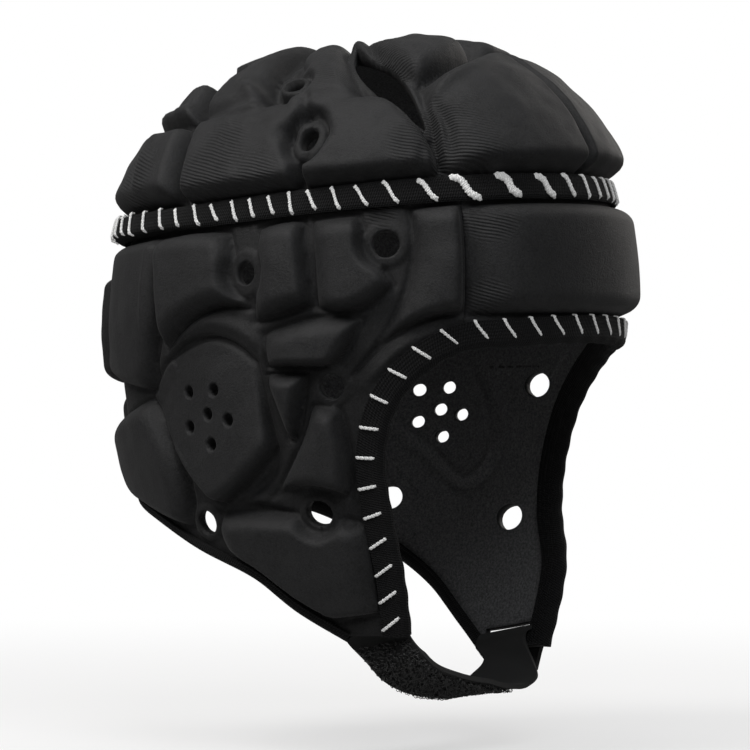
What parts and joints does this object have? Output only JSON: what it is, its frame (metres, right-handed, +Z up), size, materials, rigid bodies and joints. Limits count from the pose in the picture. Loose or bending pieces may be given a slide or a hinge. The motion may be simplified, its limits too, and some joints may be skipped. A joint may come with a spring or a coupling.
{
  "type": "goalkeeper head guard",
  "caption": "Soft padded head guard in black laminated foam, with a slit vented crown, padded brow, pierced ear panels, bound edges and a chin strap.",
  "frame": {"origin": "crown seat: the point inside the crown that rests on the top of the wearer's head", "axes": "+Z up through the crown, -Y the way the wearer looks, +X the wearer's left"},
  "size_m": [0.1776, 0.2175, 0.2561],
  "materials": {
    "shell_cloth": "matte knit laminated to foam",
    "pad_cloth": "fine ribbed satin knit stretched over foam",
    "tape": "woven tape with white stitches",
    "strap_webbing": "soft woven webbing",
    "pile": "brushed looped pile"
  },
  "bodies": {
    "root": {"crown_shell": "shell_cloth", "brow_panel": "shell_cloth", "back_panel": "shell_cloth", "brow_pad": "pad_cloth", "back_upper_pad": "pad_cloth", "back_lower_pad": "pad_cloth", "right_side_panel": "shell_cloth", "right_temple_pad": "pad_cloth", "right_upper_front_pad": "pad_cloth", "right_upper_middle_pad": "pad_cloth", "right_upper_rear_pad": "pad_cloth", "right_rear_pad": "pad_cloth", "right_wing_pad": "pad_cloth", "right_dart_pad": "pad_cloth", "right_cheek_pad": "pad_cloth", "right_ear_pad": "pad_cloth", "right_jaw_pad": "pad_cloth", "right_nape_pad": "pad_cloth", "right_crown_front_lower_pad": "pad_cloth", "right_crown_front_upper_pad": "pad_cloth", "right_crown_side_front_pad": "pad_cloth", "right_crown_side_rear_pad": "pad_cloth", "right_crown_top_front_pad": "pad_cloth", "right_crown_top_rear_pad": "pad_cloth", "right_crown_rear_lower_pad": "pad_cloth", "right_crown_rear_upper_pad": "pad_cloth", "left_side_panel": "shell_cloth", "left_temple_pad": "pad_cloth", "left_upper_front_pad": "pad_cloth", "left_upper_middle_pad": "pad_cloth", "left_upper_rear_pad": "pad_cloth", "left_rear_pad": "pad_cloth", "left_wing_pad": "pad_cloth", "left_dart_pad": "pad_cloth", "left_cheek_pad": "pad_cloth", "left_ear_pad": "pad_cloth", "left_jaw_pad": "pad_cloth", "left_nape_pad": "pad_cloth", "left_crown_front_lower_pad": "pad_cloth", "left_crown_front_upper_pad": "pad_cloth", "left_crown_side_front_pad": "pad_cloth", "left_crown_side_rear_pad": "pad_cloth", "left_crown_top_front_pad": "pad_cloth", "left_crown_top_rear_pad": "pad_cloth", "left_crown_rear_lower_pad": "pad_cloth", "left_crown_rear_upper_pad": "pad_cloth", "crown_band": "tape", "face_binding": "tape", "jaw_binding": "tape", "chin_strap": "strap_webbing", "strap_pile": "pile"}
  },
  "joints": []
}
